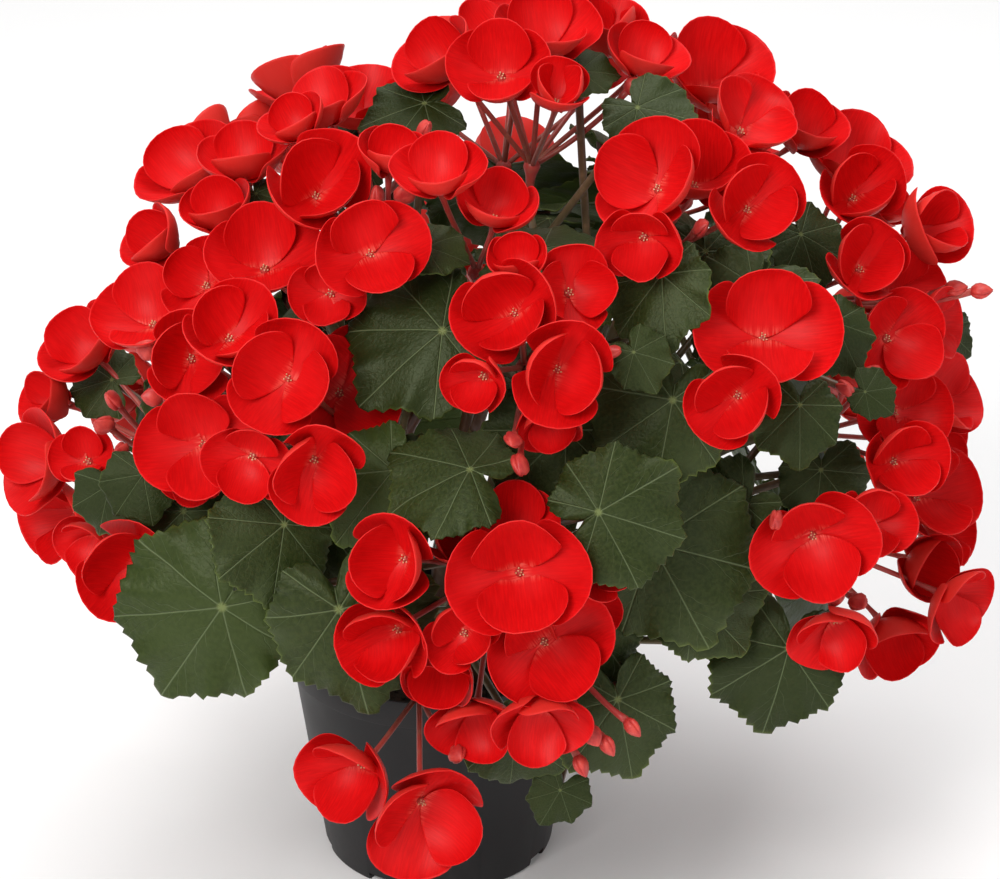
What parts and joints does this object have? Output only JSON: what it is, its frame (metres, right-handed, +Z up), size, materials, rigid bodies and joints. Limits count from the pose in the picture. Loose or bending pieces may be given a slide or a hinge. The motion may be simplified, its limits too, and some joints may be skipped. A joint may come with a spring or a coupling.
{
  "type": "potted begonia",
  "caption": "Flowering begonia house plant: a ball of cupped red blooms and toothed dark green leaves on fleshy stems, rooted in soil in a plain black nursery pot.",
  "frame": {"origin": "middle of the pot's underside, on the surface that it stands on", "axes": "+Z up, -Y towards the viewer of the picture, +X to the viewer's right"},
  "size_m": [0.4093, 0.3881, 0.3834],
  "materials": {
    "pot_plastic": "satin",
    "soil": "rough",
    "leaf": "satin",
    "petal": "matte"
  },
  "bodies": {
    "root": {"pot": "pot_plastic", "soil": "soil", "stem_front": "leaf", "stem_front_left": "leaf", "stem_left": "leaf", "stem_top_left": "leaf", "stem_back_left": "leaf", "stem_back": "leaf", "stem_back_right": "leaf", "stem_top_right": "leaf", "stem_right": "leaf", "stem_front_right": "leaf", "stem_crown": "leaf", "flowers_low_front": "petal", "flowers_low_hanging": "petal", "flowers_centre": "petal", "flowers_left_low": "petal", "flowers_left_mid": "petal", "flowers_left_inner": "petal", "flowers_upper_left": "petal", "flowers_upper_left_inner": "petal", "flowers_top_left": "petal", "flowers_crown": "petal", "flowers_top_right": "petal", "flowers_upper_right_inner": "petal", "flowers_right_upper": "petal", "flowers_right_centre": "petal", "flowers_right_mid": "petal", "flowers_right_low": "petal", "flowers_inner_top": "petal", "flowers_far_left_low": "petal", "flowers_far_left_high": "petal", "flowers_far_low": "petal", "flowers_far_high": "petal", "flowers_far_right_low": "petal", "flowers_far_right_high": "petal"}
  },
  "joints": []
}
